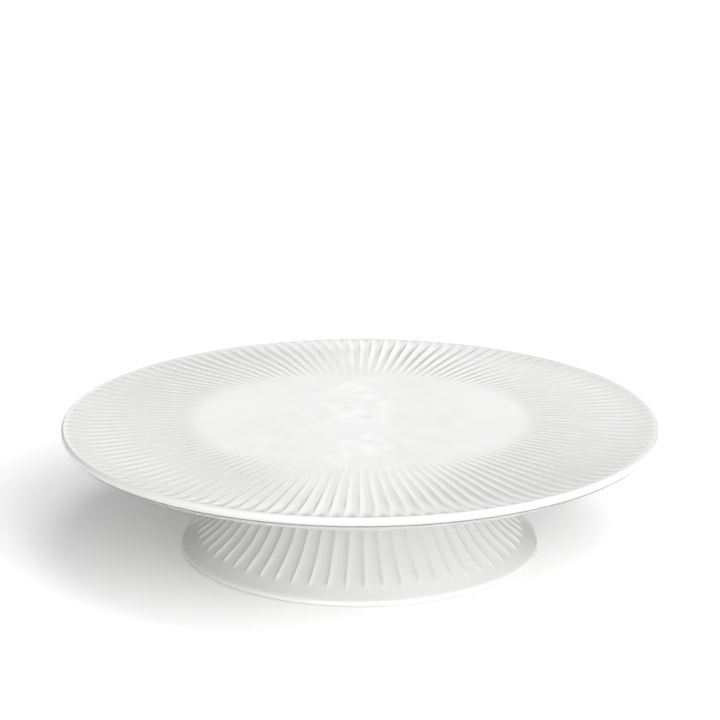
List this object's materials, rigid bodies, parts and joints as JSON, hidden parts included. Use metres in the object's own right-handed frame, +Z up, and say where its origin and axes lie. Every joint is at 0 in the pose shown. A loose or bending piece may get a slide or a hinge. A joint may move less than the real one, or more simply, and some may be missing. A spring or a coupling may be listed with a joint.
{
  "type": "cake stand",
  "caption": "Round glazed porcelain cake stand: a wide flat plate ringed by radial flutes, on a low hollow foot that flares out with matching flutes.",
  "frame": {"origin": "on the table, under the centre of the plate", "axes": "+Z up along the stand's axis of revolution; -Y is the front; the stand looks the same from all sides"},
  "size_m": [0.33, 0.33, 0.073],
  "materials": {
    "plate_glaze": "clear glossy glaze over white porcelain",
    "foot_glaze": "clear glossy glaze over white porcelain, bare matte porcelain on the standing ring",
    "joint_glaze": "porcelain slip wiped to a fillet and glazed over"
  },
  "bodies": {
    "root": {"plate": "plate_glaze", "foot": "foot_glaze", "luting_ring": "joint_glaze"}
  },
  "joints": []
}
